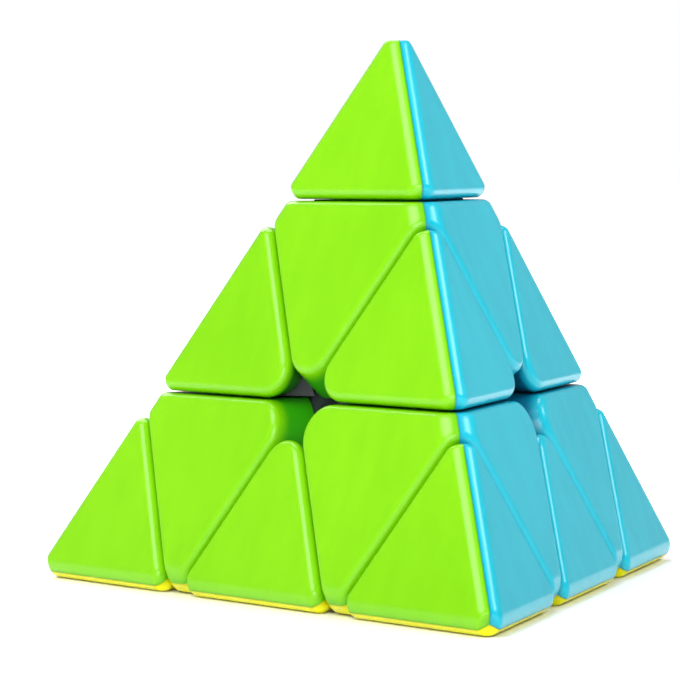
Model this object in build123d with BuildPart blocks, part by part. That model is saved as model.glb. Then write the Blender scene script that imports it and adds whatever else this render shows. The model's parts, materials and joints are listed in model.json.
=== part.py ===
"""Pyramid twisty puzzle: four tips, four corner centres and six edges on a four-armed core.

Millimetres. The origin is the middle of the core, where the four turning axes meet, and +Z points to the
top vertex. Every corner is the same as the top one, so each design is drawn once, at the top corner or on
the top-front edge, and carried to its other places by the rotations of a tetrahedron.
"""

from build123d import *
from math import atan, cos, degrees, pi, sin, sqrt
import os

# Driving dimensions
OVER_VERTICES = 98.0  # along a long edge, from one rounded vertex to the other
EDGE_ROUND = 2.4  # rounding of the six long edges
VERTEX_TRIM = 0.6  # how far the rounded vertices are cut back
VERTEX_ROUND = 0.5  # rounding around that cut
CENTRE_EDGE_ROUND = 3.8  # the same edges where a corner centre reaches them
RIM_ROUND = 1.4  # rounding of each coloured face where a cut passes
HOLE_ROUND = 4.2  # rounding of the corners that meet at the middle of a face
CUT_GAP = 0.3  # between neighbouring pieces, across a cut
SEAM_GAP = 0.04  # between the coloured shells of one piece
BEARING_INSET = 3.4  # from the coloured faces to the raised bearing that a tip turns on
BEARING_GAP = 0.08  # between that bearing and the tip
WALL = 1.7  # moulded wall of the coloured shells
FIT = 0.1  # around a part that sits in a shell's opening

# The tetrahedron whose faces the coloured faces lie in, before its edges are rounded
SHARP_EDGE = OVER_VERTICES + 2 * EDGE_ROUND * (sqrt(6) - 1)
FACE = SHARP_EDGE / sqrt(24)  # from the core's middle to a face
APEX = 3 * FACE
BLUNT_APEX = APEX - 2 * EDGE_ROUND - VERTEX_TRIM
LAYER_CUT = FACE / 3  # the cut under a layer, along the layer's axis
TIP_CUT = 5 * FACE / 3  # the cut under a tip
LEAN = degrees(atan(1 / sqrt(8)))  # how far a face leans back from its vertex's axis

# The mechanism, measured outwards from the core's middle
BALL_RADIUS = 8.6  # middle of the core
FOOT_INNER = 8.9  # the feet slide on the core
FOOT_OUTER = 15.0  # the feet reach this far under the corner centres
DISH_RADIUS = 15.3  # the hollow under a corner centre, which holds the feet down
DISH_WALL = 1.5
FOOT_CUT = 3.0  # inside the dish, a layer reaches this far down its axis
FOOT_GAP = 0.25  # on each side of that cut
NECK_TOP = 18.5  # where the shells of an edge take over from its foot
NECK_HALF_WIDTH = 8.0
SHELL_FLOOR = 1.2  # under the hollow of an edge's shells

# Turning parts on each axis: radii, and stations along the axis
POST_RADIUS = 3.0
POST_TOP = 14.8
PILOT_RADIUS = 1.52
PILOT_BOTTOM = 5.5
BORE_RADIUS = 3.08
SLEEVE_RADIUS = 5.4
SLEEVE_BOTTOM = 9.0
FLOOR_BOTTOM = 15.0
FLOOR_TOP = 17.0
FLOOR_HOLE_RADIUS = 1.8
FLANGE_RADIUS = 8.6
FLANGE_BOTTOM = 16.9
FLANGE_TOP = 19.0
TUBE_RADIUS = 6.0
WELL_RADIUS = 4.6
SNAP_RADIUS = 5.1  # groove in the tube that holds a tip's stem
SNAP_MIDDLE = 31.4
SNAP_HALF_HEIGHT = 0.9
SPRING_WIRE = 0.8
SPRING_RADIUS = 3.4
SPRING_BOTTOM = 17.05
SPRING_TURNS = 5
WASHER_BOTTOM = 25.6
WASHER_THICKNESS = 0.6
WASHER_RADIUS = 4.2
WASHER_HOLE_RADIUS = 1.6
HEAD_RADIUS = 3.1
HEAD_HEIGHT = 2.0
CROSS_WIDTH = 0.8
CROSS_LENGTH = 3.4
CROSS_DEPTH = 1.2
THREAD_ROOT = 1.25
THREAD_RADIUS = 1.5
THREAD_PITCH = 0.8
SCREW_BOTTOM = 6.5
STEM_RADIUS = 4.4
STEM_BORE_RADIUS = 3.1
STEM_BOTTOM = 29.4
STEM_BEAD = 0.5  # how far its bead stands out into the snap groove
STEM_SLOT = 0.8
STEM_FLANGE_RADIUS = 6.4
STEM_FLANGE_HEIGHT = 1.4
STEM_PEG_RADIUS = 2.4
STEM_PEG_TOP = 46.0
TONGUE_THICKNESS = 2.2
TONGUE_HALF_WIDTH = 4.6
TONGUE_TOP = 26.0
TONGUE_HEAD_THICKNESS = 5.0
TONGUE_HEAD_HEIGHT = 2.0

BIG = 4 * APEX  # larger than the puzzle in every direction


def spread(azimuth):
    """The direction from the core to one of the three lower vertices."""
    turn = azimuth * pi / 180
    return Vector(sqrt(8) / 3 * cos(turn), sqrt(8) / 3 * sin(turn), -1 / 3)


VERTEX = {"top": Vector(0, 0, 1), "front": spread(-90), "right": spread(30), "left": spread(150)}
FACE_COLOUR = {"top": "yellow", "front": "red", "right": "green", "left": "blue"}  # by opposite vertex
TOP, FRONT, RIGHT, LEFT = VERTEX.values()
EDGES = ("top_front", "top_right", "top_left", "front_right", "right_left", "left_front")
OUT = (TOP + FRONT).normalized()  # from the core's middle to the middle of the top-front edge


def keep_below(direction, distance):
    """Trims the part being built to what lies nearer the core than a plane."""
    split(bisect_by=Plane(origin=direction * distance, z_dir=direction), keep=Keep.BOTTOM)


def keep_above(direction, distance):
    """Trims the part being built to what lies beyond a plane."""
    split(bisect_by=Plane(origin=direction * distance, z_dir=direction), keep=Keep.TOP)


def keep_back_third():
    """Trims a part of the top corner to the third that carries the back face."""
    keep_above(Vector(-1 / 2, sqrt(3) / 2, 0), SEAM_GAP / 2)
    keep_above(Vector(1 / 2, sqrt(3) / 2, 0), SEAM_GAP / 2)


def rims(part):
    """The edges of a part where its outside ends at a cut."""
    skin = [
        face
        for face in part.faces()
        if max(-face.center().dot(vertex) for vertex in VERTEX.values()) > 0.85 * FACE
    ]
    borders = [edge for face in skin for edge in face.edges()]
    return [edge for edge in borders if sum(edge.is_same(other) for other in borders) == 1]


def cut_out(part):
    """Takes a finished part away from the one being built."""
    add(part, mode=Mode.SUBTRACT)


def tetrahedron(inset):
    """Starts a part as the tetrahedron that the coloured faces lie in, drawn in from every face by the inset."""
    Box(BIG, BIG, BIG)
    for vertex in VERTEX.values():
        keep_above(vertex, inset - FACE)


# The outside that the tips and the edges are cut from, with rounded edges and blunt vertices
with BuildPart() as outside:
    tetrahedron(0)
    fillet(outside.edges(), EDGE_ROUND)
    for vertex in VERTEX.values():
        keep_below(vertex, BLUNT_APEX)
        blunt_end = outside.faces().sort_by(lambda face: -face.center().dot(vertex))[0]
        fillet(blunt_end.edges(), VERTEX_ROUND)

# The inside of their walls
with BuildPart() as inside:
    tetrahedron(WALL)
    fillet(inside.edges(), EDGE_ROUND - WALL)
    for vertex in VERTEX.values():
        keep_below(vertex, BLUNT_APEX - WALL)

# The same pair for the corner centres, whose edges are softer
with BuildPart() as centre_outside:
    tetrahedron(0)
    fillet(centre_outside.edges(), CENTRE_EDGE_ROUND)

with BuildPart() as centre_inside:
    tetrahedron(WALL)
    fillet(centre_inside.edges(), CENTRE_EDGE_ROUND - WALL)


# Tips: the small pyramid beyond each tip cut, in three hollow coloured shells
with BuildPart() as tip_hollow:
    add(inside.part)
    keep_above(TOP, TIP_CUT + CUT_GAP / 2 + WALL)

with BuildPart() as tip_shell:
    add(outside.part)
    keep_above(TOP, TIP_CUT + CUT_GAP / 2)
    fillet(rims(tip_shell.part), RIM_ROUND)
    cut_out(tip_hollow.part)
    Cylinder(STEM_RADIUS + FIT, 2 * (TIP_CUT + 2 * WALL), mode=Mode.SUBTRACT)
    keep_back_third()


# Corner centres: the octahedron between a layer cut and a tip cut, in three hollow coloured shells
def trim_to_centre(inset):
    """Trims the part being built to the top corner's centre, drawn in from its cuts by the inset."""
    side = inset + CUT_GAP / 2
    keep_above(TOP, LAYER_CUT + side)
    keep_below(TOP, TIP_CUT - side)
    for lower in (FRONT, RIGHT, LEFT):
        keep_below(lower, LAYER_CUT - side)
    for lower in (FRONT, RIGHT, LEFT):
        # A V with its rounded point at the middle of the face, which widens inwards as the cuts do
        low = 2 * (side - inset / 3) / cos(LEAN * pi / 180)
        high = low + APEX * sqrt(3)
        with BuildSketch(Plane(origin=lower * (inset - FACE), x_dir=TOP.cross(lower), z_dir=lower)) as vee:
            with BuildLine():
                Polyline((0, low), (APEX, high), (-APEX, high), close=True)
            make_face()
            fillet(vee.vertices().sort_by(Axis.Y)[0], HOLE_ROUND - inset)
        extrude(vee.sketch, amount=2 * FACE, taper=-LEAN, mode=Mode.INTERSECT)


with BuildPart() as centre_hollow:
    add(centre_inside.part)
    trim_to_centre(WALL)
    Sphere(DISH_RADIUS + DISH_WALL, mode=Mode.SUBTRACT)

with BuildPart() as tip_bearing:
    tetrahedron(BEARING_INSET)
    keep_above(TOP, TIP_CUT - CUT_GAP / 2 - WALL / 2)
    keep_below(TOP, TIP_CUT + CUT_GAP / 2 - BEARING_GAP)

with BuildPart() as centre_shell:
    add(centre_outside.part)
    trim_to_centre(0)
    fillet(rims(centre_shell.part), RIM_ROUND)
    add(tip_bearing.part)
    Sphere(DISH_RADIUS, mode=Mode.SUBTRACT)
    cut_out(centre_hollow.part)
    Cylinder(SLEEVE_RADIUS + FIT, BIG, mode=Mode.SUBTRACT)
    with Locations((0, 0, TIP_CUT)):
        Cylinder(TUBE_RADIUS + FIT, 4 * WALL, mode=Mode.SUBTRACT)
    keep_back_third()


# Edges: the small pyramid between two layer cuts, in two hollow coloured shells over a grey foot
with BuildPart() as edge_hollow:
    add(inside.part)
    for cut in (TOP, FRONT):
        keep_above(cut, LAYER_CUT + CUT_GAP / 2 + WALL)
    keep_above(OUT, NECK_TOP + SHELL_FLOOR)

across_edge = Plane(origin=(0, 0, 0), x_dir=(1, 0, 0), z_dir=OUT)

with BuildPart() as edge_shell:
    add(outside.part)
    for cut in (TOP, FRONT):
        keep_above(cut, LAYER_CUT + CUT_GAP / 2)
    inner_edge = edge_shell.edges().filter_by(Axis.X).sort_by(lambda edge: edge.center().length)[0]
    fillet(inner_edge, HOLE_ROUND)
    fillet(rims(edge_shell.part), RIM_ROUND)
    cut_out(edge_hollow.part)
    Sphere(DISH_RADIUS, mode=Mode.SUBTRACT)
    with BuildSketch(across_edge):
        Rectangle(2 * (NECK_HALF_WIDTH + FIT), BIG)
    extrude(amount=NECK_TOP + FIT, mode=Mode.SUBTRACT)
    with BuildSketch(across_edge):
        Rectangle(2 * (TONGUE_HALF_WIDTH + FIT), TONGUE_THICKNESS + 2 * FIT)
    extrude(amount=NECK_TOP + 2 * SHELL_FLOOR, mode=Mode.SUBTRACT)
    keep_above(Vector(1, 0, 0), SEAM_GAP / 2)

# Foot of an edge: a plate held between the core and the dishes, with a neck and a tongue into the shells
with BuildPart() as foot_neck:
    with BuildSketch(across_edge):
        Rectangle(2 * NECK_HALF_WIDTH, BIG)
    extrude(amount=NECK_TOP)
    for cut in (TOP, FRONT):
        keep_above(cut, LAYER_CUT + CUT_GAP / 2)
    Sphere(FOOT_OUTER - DISH_WALL / 2, mode=Mode.SUBTRACT)

with BuildPart() as edge_foot:
    Sphere(FOOT_OUTER)
    Sphere(FOOT_INNER, mode=Mode.SUBTRACT)
    for own_side in (TOP, FRONT):
        keep_above(own_side, FOOT_CUT + FOOT_GAP)
    for far_side in (RIGHT, LEFT):
        keep_below(far_side, FOOT_CUT - FOOT_GAP)
    add(foot_neck.part)
    with BuildSketch(across_edge.offset(NECK_TOP)):
        Rectangle(2 * TONGUE_HALF_WIDTH, TONGUE_THICKNESS)
    extrude(amount=TONGUE_TOP - NECK_TOP)
    with BuildSketch(across_edge.offset(TONGUE_TOP - TONGUE_HEAD_HEIGHT)):
        Rectangle(2 * TONGUE_HALF_WIDTH, TONGUE_HEAD_THICKNESS)
    extrude(amount=TONGUE_HEAD_HEIGHT)


# Core: a ball with four hollow posts that the screws bite into
with BuildPart() as core:
    Sphere(BALL_RADIUS)
    for direction in VERTEX.values():
        with BuildSketch(Plane(origin=(0, 0, 0), z_dir=direction)):
            Circle(POST_RADIUS)
        extrude(amount=POST_TOP)
    for direction in VERTEX.values():
        with BuildSketch(Plane(origin=direction * PILOT_BOTTOM, z_dir=direction)):
            Circle(PILOT_RADIUS)
        extrude(amount=POST_TOP, mode=Mode.SUBTRACT)


# Hub of a corner: the sleeve that turns on a post, the floor under the spring and the tube for the tip's stem
with BuildPart() as centre_hub:
    with BuildSketch(Plane.XZ):
        with BuildLine():
            Polyline(
                (BORE_RADIUS, SLEEVE_BOTTOM),
                (SLEEVE_RADIUS, SLEEVE_BOTTOM),
                (SLEEVE_RADIUS, FLANGE_BOTTOM),
                (FLANGE_RADIUS, FLANGE_BOTTOM),
                (FLANGE_RADIUS, FLANGE_TOP),
                (TUBE_RADIUS, FLANGE_TOP),
                (TUBE_RADIUS, TIP_CUT - CUT_GAP / 2),
                (WELL_RADIUS, TIP_CUT - CUT_GAP / 2),
                (WELL_RADIUS, SNAP_MIDDLE + SNAP_HALF_HEIGHT),
                (SNAP_RADIUS, SNAP_MIDDLE + SNAP_HALF_HEIGHT / 2),
                (SNAP_RADIUS, SNAP_MIDDLE - SNAP_HALF_HEIGHT / 2),
                (WELL_RADIUS, SNAP_MIDDLE - SNAP_HALF_HEIGHT),
                (WELL_RADIUS, FLOOR_TOP),
                (FLOOR_HOLE_RADIUS, FLOOR_TOP),
                (FLOOR_HOLE_RADIUS, FLOOR_BOTTOM),
                (BORE_RADIUS, FLOOR_BOTTOM),
                close=True,
            )
        make_face()
    revolve(axis=Axis.Z)


# Stem of a tip: a split collet that snaps into the hub, and a flange and a peg inside the tip's shells
STEM_SEAT = TIP_CUT + CUT_GAP / 2 + WALL + FIT
with BuildPart() as tip_stem:
    with BuildSketch(Plane.XZ):
        with BuildLine():
            Polyline(
                (STEM_BORE_RADIUS, STEM_BOTTOM),
                (STEM_RADIUS, STEM_BOTTOM),
                (STEM_RADIUS, SNAP_MIDDLE - SNAP_HALF_HEIGHT + FIT),
                (STEM_RADIUS + STEM_BEAD, SNAP_MIDDLE - SNAP_HALF_HEIGHT / 3),
                (STEM_RADIUS + STEM_BEAD, SNAP_MIDDLE + SNAP_HALF_HEIGHT / 3),
                (STEM_RADIUS, SNAP_MIDDLE + SNAP_HALF_HEIGHT - FIT),
                (STEM_RADIUS, STEM_SEAT),
                (STEM_FLANGE_RADIUS, STEM_SEAT),
                (STEM_FLANGE_RADIUS, STEM_SEAT + STEM_FLANGE_HEIGHT),
                (STEM_PEG_RADIUS, STEM_SEAT + STEM_FLANGE_HEIGHT),
                (STEM_PEG_RADIUS, STEM_PEG_TOP),
                (0, STEM_PEG_TOP),
                (0, TIP_CUT),
                (STEM_BORE_RADIUS, TIP_CUT),
                close=True,
            )
        make_face()
    revolve(axis=Axis.Z)
    with BuildSketch(Plane.XY.offset(STEM_BOTTOM)):
        with PolarLocations(STEM_RADIUS, 3):
            Rectangle(2 * STEM_RADIUS, STEM_SLOT)
    extrude(amount=TIP_CUT - STEM_BOTTOM, mode=Mode.SUBTRACT)


# Screw of a corner: a ringed shank in the post, a plain one through the hub's floor, and a cross head
HEAD_BOTTOM = WASHER_BOTTOM + WASHER_THICKNESS
HEAD_TOP = HEAD_BOTTOM + HEAD_HEIGHT
THREAD_RINGS = int((POST_TOP - SCREW_BOTTOM) / THREAD_PITCH) - 1
ring_levels = [SCREW_BOTTOM + THREAD_PITCH * (ring + 1) for ring in range(THREAD_RINGS)]
ring_points = [
    point
    for level in ring_levels
    for point in (
        (THREAD_ROOT, level),
        (THREAD_RADIUS, level + 0.3 * THREAD_PITCH),
        (THREAD_RADIUS, level + 0.4 * THREAD_PITCH),
        (THREAD_ROOT, level + 0.7 * THREAD_PITCH),
    )
]
with BuildPart() as screw:
    with BuildSketch(Plane.XZ):
        with BuildLine():
            Polyline(
                (0, SCREW_BOTTOM),
                (THREAD_ROOT / 2, SCREW_BOTTOM),
                *ring_points,
                (THREAD_ROOT, POST_TOP),
                (THREAD_RADIUS, POST_TOP + THREAD_PITCH / 2),
                (THREAD_RADIUS, HEAD_BOTTOM),
                (HEAD_RADIUS, HEAD_BOTTOM),
                (HEAD_RADIUS, HEAD_TOP - HEAD_HEIGHT / 3),
                (HEAD_RADIUS - HEAD_HEIGHT / 3, HEAD_TOP),
                (0, HEAD_TOP),
                close=True,
            )
        make_face()
    revolve(axis=Axis.Z)
    with BuildSketch(Plane.XY.offset(HEAD_TOP)):
        Rectangle(CROSS_LENGTH, CROSS_WIDTH)
        Rectangle(CROSS_WIDTH, CROSS_LENGTH)
    extrude(amount=-CROSS_DEPTH, mode=Mode.SUBTRACT)


# Washer and spring under the screw's head
with BuildPart() as washer:
    with BuildSketch(Plane.XY.offset(WASHER_BOTTOM)):
        Circle(WASHER_RADIUS)
        Circle(WASHER_HOLE_RADIUS, mode=Mode.SUBTRACT)
    extrude(amount=WASHER_THICKNESS)

SPRING_RISE = WASHER_BOTTOM - SPRING_BOTTOM - SPRING_WIRE - FIT / 2
with BuildPart() as spring:
    with BuildLine(Plane.XY.offset(SPRING_BOTTOM + SPRING_WIRE / 2)) as coil:
        Helix(pitch=SPRING_RISE / SPRING_TURNS, height=SPRING_RISE, radius=SPRING_RADIUS)
    with BuildSketch(coil.line ^ 0):
        Circle(SPRING_WIRE / 2)
    sweep()


# Every piece in its place
def seat(own, other):
    """The turn about the core's middle that carries the top vertex to own and the front vertex to other."""
    axis = VERTEX[own]
    away = axis * axis.dot(VERTEX[other]) - VERTEX[other]
    return Location(Plane(origin=(0, 0, 0), x_dir=away.cross(axis), z_dir=axis))


def left_hand(own, other):
    """The vertex that seat(own, other) carries the left vertex to."""
    turn_sense = TOP.dot(FRONT.cross(LEFT))
    for name, direction in VERTEX.items():
        if VERTEX[own].dot(VERTEX[other].cross(direction)) * turn_sense > 0.1:
            return name


def save(part, seats, name):
    """Writes one piece, or a set of alike fasteners, in its place as a STEP file."""
    with BuildPart() as placed:
        with Locations(seats):
            add(part)
    placed.part.label = name
    export_step(placed.part, f"parts/{name}.step")


os.makedirs("parts", exist_ok=True)
first_seats = {own: seat(own, next(other for other in VERTEX if other != own)) for own in VERTEX}

for own in VERTEX:
    save(centre_hub.part, first_seats[own], f"{own}_centre_hub")
    save(tip_stem.part, first_seats[own], f"{own}_tip_stem")
    for other in VERTEX:
        if other != own:
            save(tip_shell.part, seat(own, other), f"{own}_tip_{FACE_COLOUR[other]}")
            save(centre_shell.part, seat(own, other), f"{own}_centre_{FACE_COLOUR[other]}")

for edge in EDGES:
    own, other = edge.split("_")
    save(edge_foot.part, seat(own, other), f"{edge}_edge_foot")
    for pair in ((own, other), (other, own)):
        save(edge_shell.part, seat(*pair), f"{edge}_edge_{FACE_COLOUR[left_hand(*pair)]}")

save(core.part, Location((0, 0, 0)), "core")
save(screw.part, list(first_seats.values()), "arm_screws")
save(spring.part, list(first_seats.values()), "arm_springs")
save(washer.part, list(first_seats.values()), "arm_washers")
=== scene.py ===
"""Looks of a pyramid twisty puzzle: glossy coloured shells over a grey mechanism, on a pale table.

The shells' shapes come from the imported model. What is made here are the finishes, the table, the lights
and the camera.
"""

import json
import math

import bpy
from mathutils import Matrix, Vector


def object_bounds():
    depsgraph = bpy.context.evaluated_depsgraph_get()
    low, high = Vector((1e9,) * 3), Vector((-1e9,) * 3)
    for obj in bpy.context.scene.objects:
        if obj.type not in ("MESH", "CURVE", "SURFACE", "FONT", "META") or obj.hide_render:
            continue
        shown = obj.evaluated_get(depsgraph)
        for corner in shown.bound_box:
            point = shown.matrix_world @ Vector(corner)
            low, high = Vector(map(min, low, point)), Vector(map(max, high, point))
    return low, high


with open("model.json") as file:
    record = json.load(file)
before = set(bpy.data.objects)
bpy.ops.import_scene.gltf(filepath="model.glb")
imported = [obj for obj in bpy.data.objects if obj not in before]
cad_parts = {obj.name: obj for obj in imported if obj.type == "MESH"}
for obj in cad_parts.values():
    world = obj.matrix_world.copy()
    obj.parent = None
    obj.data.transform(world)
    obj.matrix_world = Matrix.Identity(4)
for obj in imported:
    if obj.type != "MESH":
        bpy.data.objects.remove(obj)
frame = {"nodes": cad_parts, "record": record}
nodes = frame["nodes"]
cad_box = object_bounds()

# Directions from the core's middle to the four vertices; a face lies opposite each of them
VERTEX = {
    "top": Vector((0, 0, 1)),
    "front": Vector((0, -math.sqrt(8) / 3, -1 / 3)),
    "right": Vector((math.sqrt(2 / 3), math.sqrt(2) / 3, -1 / 3)),
    "left": Vector((-math.sqrt(2 / 3), math.sqrt(2) / 3, -1 / 3)),
}
FACE = -cad_box[0].z  # from the core's middle to a face, in metres
VERTEX_OPPOSITE = {"yellow": "top", "red": "front", "green": "right", "blue": "left"}

# Painted shade on the shells, by depth in metres: a painted dark line along each seam fades out over the first
# pair and painted shade on the plain wall of a cut deepens over the second
SEAM_SHADE_FADE = (0.0001, 0.0006)
WALL_SHADE_FADE = (0.0005, 0.0028)
SEAM_PAINTED_SHADE = 0.55

WHITE = (1.0, 1.0, 1.0, 1.0)
BLACK = (0.0, 0.0, 0.0, 1.0)


# ---------------------------------------------------------------- shader maths
class Sock:
    """A node socket on which sums, products and comparisons add Math nodes."""

    def __init__(self, tree, socket):
        self.tree = tree
        self.socket = socket

    def math(self, operation, *others):
        return self.tree.node("ShaderNodeMath", {"operation": operation}, [self, *others])

    def __add__(self, other):
        return self.math("ADD", other)

    __radd__ = __add__

    def __mul__(self, other):
        return self.math("MULTIPLY", other)

    __rmul__ = __mul__

    def __sub__(self, other):
        return self.math("SUBTRACT", other)

    def __rsub__(self, other):
        return self.tree.node("ShaderNodeMath", {"operation": "SUBTRACT"}, [other, self])

    def least(self, other):
        return self.math("MINIMUM", other)

    def most(self, other):
        return self.math("MAXIMUM", other)

    def smooth(self, low, high):
        """0 below low, 1 above high and a smooth step between them."""
        return self.tree.node(
            "ShaderNodeMapRange",
            {"interpolation_type": "SMOOTHSTEP"},
            {"Value": self, "From Min": low, "From Max": high},
        )


class Tree:
    """A node tree under construction."""

    def __init__(self, owner):
        owner.use_nodes = True
        self.nodes = owner.node_tree.nodes
        self.links = owner.node_tree.links

    def node(self, kind, settings=None, values=None, output=0):
        """Adds a node, gives it its settings and then its sockets' values or links, and returns one output."""
        made = self.nodes.new(kind)
        for key, value in (settings or {}).items():
            setattr(made, key, value)
        pairs = values.items() if isinstance(values, dict) else enumerate(values or [])
        for key, value in pairs:
            self.feed(made.inputs[key], value)
        return Sock(self, made.outputs[output])

    def feed(self, socket, value):
        if isinstance(value, Sock):
            self.links.new(value.socket, socket)
        else:
            socket.default_value = value


class Finish(Tree):
    """A material under construction, whose methods add its nodes."""

    def __init__(self, name):
        self.material = bpy.data.materials.new(name)
        super().__init__(self.material)
        self.shader = self.nodes["Principled BSDF"]

    def set(self, **values):
        """Feeds the shader's sockets; an underscore stands for a space in a socket's name."""
        for key, value in values.items():
            self.feed(self.shader.inputs[key.replace("_", " ")], value)

    def place(self):
        """Where a point is, from the piece's origin, which for a shell is the core's middle."""
        return self.node("ShaderNodeTexCoord", output="Object")

    def along(self, place, direction):
        """How far a place lies along a direction."""
        settings = {"operation": "DOT_PRODUCT"}
        return self.node("ShaderNodeVectorMath", settings, [place, tuple(direction)], output="Value")

    def length(self, place):
        """How far a place is from the piece's origin."""
        return self.node("ShaderNodeVectorMath", {"operation": "LENGTH"}, [place], output="Value")

    def noise(self, place, scale, detail=2.0, roughness=0.5):
        values = {"Vector": place, "Scale": scale, "Detail": detail, "Roughness": roughness}
        return self.node("ShaderNodeTexNoise", {}, values)

    def stretch(self, place, factors):
        """The place scaled along each axis, which draws a pattern out into streaks."""
        return self.node("ShaderNodeVectorMath", {"operation": "MULTIPLY"}, [place, factors])

    def mix(self, factor, first, second):
        """From the first colour to the second as the factor goes from 0 to 1.

        The node has sockets for numbers and vectors too, so its colour sockets go by their places.
        """
        colour_sockets = {0: factor, 6: first, 7: second}
        return self.node("ShaderNodeMix", {"data_type": "RGBA"}, colour_sockets, output=2)

    def bump(self, height, distance, strength=1.0):
        values = {"Height": height, "Distance": distance, "Strength": strength}
        return self.node("ShaderNodeBump", {}, values, output="Normal")


def colour(red, green, blue):
    """A display colour of 0 to 255 as the linear colour that a socket takes."""

    def linear(part):
        part /= 255
        return part / 12.92 if part <= 0.04045 else ((part + 0.055) / 1.055) ** 2.4

    return (linear(red), linear(green), linear(blue), 1.0)


def tinted(shade, factor):
    """A linear colour made darker or lighter by a factor."""
    return tuple(min(1.0, part * factor) for part in shade[:3]) + (1.0,)


# ---------------------------------------------------------------- finishes
def shell_plastic(name, shade, painted_shade, bright):
    """Glossy moulded plastic: flow marks, faint waves in the gloss, and painted shade on its walls and seams.

    The depth under a face is the distance from its plane. A seam between two shells lies where the depths
    under both of their faces are equal.
    """
    made = Finish(name)
    place = made.place()
    own = VERTEX_OPPOSITE[name.split("_")[0]]
    depth = made.along(place, VERTEX[own]) + FACE
    others = [made.along(place, VERTEX[other]) + FACE for other in VERTEX if other != own]
    nearest = others[0].least(others[1]).least(others[2])
    # Painted shade: a dark line along each seam and darker walls deep in the cuts, standing in for the shade
    # in the grooves
    seam_shade = 1 - (nearest - depth).smooth(*SEAM_SHADE_FADE)
    wall_shade = depth.smooth(*WALL_SHADE_FADE)
    drift = made.noise(place, 22.0, 3.0)
    streaks = made.noise(made.stretch(place, (260.0, 260.0, 34.0)), 1.0, 2.0, 0.55)
    cloudy = (drift - 0.5) * 0.9 + (streaks - 0.5) * 0.5 + 0.5
    face_colour = made.mix(cloudy.smooth(0.2, 0.8), tinted(shade, 0.97), bright)
    made.set(
        Base_Color=made.mix(wall_shade.most(seam_shade * SEAM_PAINTED_SHADE), face_colour, painted_shade),
        Roughness=0.24 + 0.06 * (drift - 0.5) + 0.05 * (streaks - 0.5) + 0.2 * wall_shade,
        IOR=1.5,
        Specular_IOR_Level=0.35,
    )
    peel = made.noise(place, 900.0, 1.0)
    waves = made.noise(place, 120.0, 1.0)
    made.set(Normal=made.bump(peel * 0.3 + waves, 0.00002, 0.6))
    return made.material


def grey_plastic(name):
    """Satin inner plastic, rubbed a little shiny, with fine moulding grain."""
    made = Finish(name)
    place = made.place()
    blotch = made.noise(place, 160.0, 3.0)
    grain = made.noise(place, 2600.0, 2.0)
    made.set(
        Base_Color=made.mix(blotch.smooth(0.3, 0.7), colour(34, 40, 41), colour(52, 60, 61)),
        Roughness=0.42 + 0.2 * (blotch - 0.5),
        Normal=made.bump(grain, 0.00002, 0.5),
    )
    return made.material


def turned_steel(name, shade, gloss, lines):
    """Steel with fine lines from turning or drawing, and small stains."""
    made = Finish(name)
    place = made.place()
    stain = made.noise(place, 400.0, 3.0)
    line = made.noise(made.stretch(place, (lines, lines, lines / 8)), 1.0, 2.0)
    made.set(
        Base_Color=made.mix(stain.smooth(0.35, 0.75), shade, tinted(shade, 0.72)),
        Metallic=1.0,
        Roughness=gloss + 0.12 * (line - 0.5) + 0.1 * (stain - 0.5),
        Normal=made.bump(line, 0.00001, 0.4),
    )
    return made.material


# Each shell finish takes its own colour, then the colour of the painted shade in its seams and cut walls, then
# a lighter tone for its flow marks
FINISHES = {
    "green": shell_plastic(
        "green_shell_plastic", colour(116, 192, 0), colour(40, 146, 0), colour(124, 198, 4)
    ),
    "blue": shell_plastic(
        "blue_shell_plastic", colour(10, 176, 196), colour(0, 110, 146), colour(24, 184, 204)
    ),
    "yellow": shell_plastic(
        "yellow_shell_plastic", colour(228, 226, 0), colour(170, 164, 0), colour(236, 234, 2)
    ),
    "red": shell_plastic(
        "red_shell_plastic", colour(236, 44, 52), colour(120, 6, 12), colour(248, 66, 70)
    ),
    "grey": grey_plastic("grey_inner_plastic"),
    "screw_steel": turned_steel("screw_steel", (0.5, 0.5, 0.51, 1.0), 0.32, 5000.0),
    "spring_steel": turned_steel("spring_steel", (0.6, 0.6, 0.61, 1.0), 0.22, 7000.0),
    "washer_steel": turned_steel("washer_steel", (0.58, 0.58, 0.57, 1.0), 0.36, 4000.0),
}

SLOT_OF_NODE = {part["node"]: part["material_slot"] for part in frame["record"]["subparts"]}
for name, node in nodes.items():
    slot = SLOT_OF_NODE[name]
    for material_slot in node.material_slots:
        material_slot.material = FINISHES[slot]


# ---------------------------------------------------------------- table and light
TABLE_HALF = 6.0  # metres
GLOW_RISE = (0.08, 0.35)  # metres from the middle of the table


def table_finish():
    """A pale, slightly glossy table, whose outer parts glow so that it stays white out to the backdrop."""
    made = Finish("pale_table")
    place = made.place()
    mottle = made.noise(place, 9.0, 3.0)
    glow = made.length(place).smooth(*GLOW_RISE)
    made.set(
        Base_Color=made.mix(mottle, colour(252, 252, 252), WHITE),
        Roughness=0.35 + 0.1 * (mottle - 0.5),
        Specular_IOR_Level=0.3,
        Emission_Color=made.mix(glow, BLACK, WHITE),
        Emission_Strength=0.7,
    )
    return made.material


bpy.ops.mesh.primitive_plane_add(size=2 * TABLE_HALF, location=(0, 0, cad_box[0].z))
table = bpy.context.object
table.name = "table"
table.data.materials.append(table_finish())


def soft_light(name, place, aim_height, size, power):
    """A square white area light that faces a point on the puzzle's upright axis."""
    data = bpy.data.lights.new(name, "AREA")
    data.shape = "SQUARE"
    data.size = size
    data.energy = power
    lamp = bpy.data.objects.new(name, data)
    bpy.context.scene.collection.objects.link(lamp)
    lamp.location = place
    facing = Vector((0, 0, aim_height)) - Vector(place)
    lamp.rotation_euler = facing.to_track_quat("-Z", "Y").to_euler()


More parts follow.
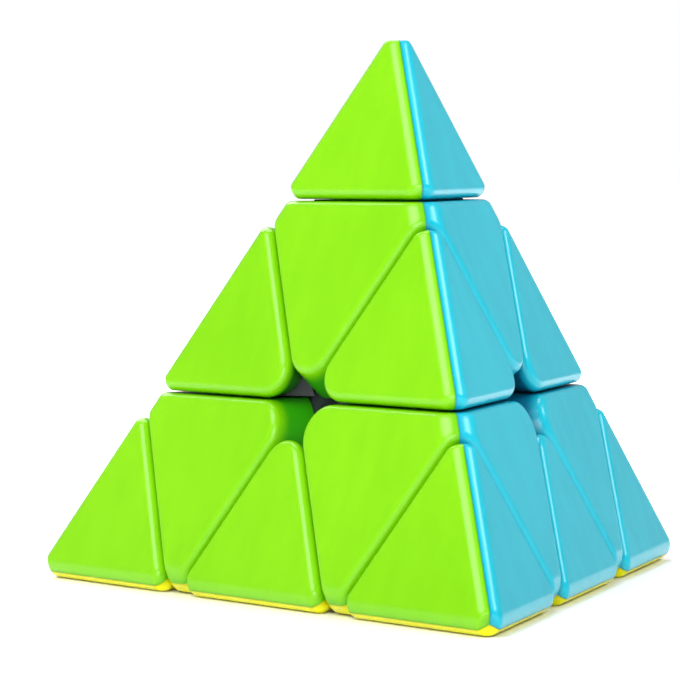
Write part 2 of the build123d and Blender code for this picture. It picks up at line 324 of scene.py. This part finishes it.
soft_light("light_left", (-0.55, -0.32, 0.90), aim_height=0.02, size=0.6, power=8.0)
soft_light("light_right", (0.75, -0.17, 0.79), aim_height=0.02, size=0.35, power=3.8)
soft_light("light_front", (-0.30, -1.02, 0.34), aim_height=0.02, size=0.55, power=7.0)
soft_light("light_above", (0.1, 0.45, 1.1), aim_height=0.0, size=0.6, power=6.0)
soft_light("light_back", (-0.15, 0.95, 0.75), aim_height=0.01, size=0.6, power=5.0)

# The room: white where it is looked at, and dimmer as a light on the puzzle, most of all overhead
world = bpy.data.worlds.new("room")
bpy.context.scene.world = world
room = Tree(world)
direction = room.node("ShaderNodeTexCoord", output="Generated")
height = room.node("ShaderNodeSeparateXYZ", {}, [direction], output="Z")
lighting = room.node(
    "ShaderNodeMapRange",
    {"interpolation_type": "SMOOTHSTEP"},
    {"Value": height, "From Min": 0.1, "From Max": 0.5, "To Min": 0.42, "To Max": 0.3},
)
looked_at = room.node("ShaderNodeLightPath", output="Is Camera Ray")
background = room.nodes["Background"]
room.feed(background.inputs["Color"], WHITE)
room.feed(background.inputs["Strength"], lighting.most(looked_at))

# ---------------------------------------------------------------- camera
AZIMUTH = -12.14  # degrees, from straight in front
ELEVATION = 4.63  # degrees
ROLL = -0.39  # degrees
DISTANCE = 0.5265  # metres, from the core's middle
ASIDE = -0.00864  # metres, where it aims beside the core's middle
ABOVE = 0.01522  # and above it
LENS = 189.97  # millimetres, and the sensor as well
SENSOR = 36.0
CLIP = (0.01, 50)  # metres

azimuth, elevation, roll = map(math.radians, (AZIMUTH, ELEVATION, ROLL))
side = Vector((math.cos(azimuth), math.sin(azimuth), 0))
stand = Vector(
    (
        math.cos(elevation) * math.sin(azimuth),
        -math.cos(elevation) * math.cos(azimuth),
        math.sin(elevation),
    )
)
eye = stand * DISTANCE
target = side * ASIDE + Vector((0, 0, ABOVE))
back = (eye - target).normalized()
level_right = Vector((0, 0, 1)).cross(back).normalized()
level_up = back.cross(level_right)
right = level_right * math.cos(roll) + level_up * math.sin(roll)
up = level_up * math.cos(roll) - level_right * math.sin(roll)

camera_data = bpy.data.cameras.new("camera")
camera_data.lens = LENS
camera_data.sensor_width = SENSOR
camera_data.clip_start, camera_data.clip_end = CLIP
camera = bpy.data.objects.new("camera", camera_data)
bpy.context.scene.collection.objects.link(camera)
turn = Matrix((right, up, back)).transposed().to_4x4()
camera.matrix_world = Matrix.Translation(eye) @ turn
bpy.context.scene.camera = camera

bpy.context.scene.view_settings.view_transform = "Standard"

bpy.context.view_layer.update()
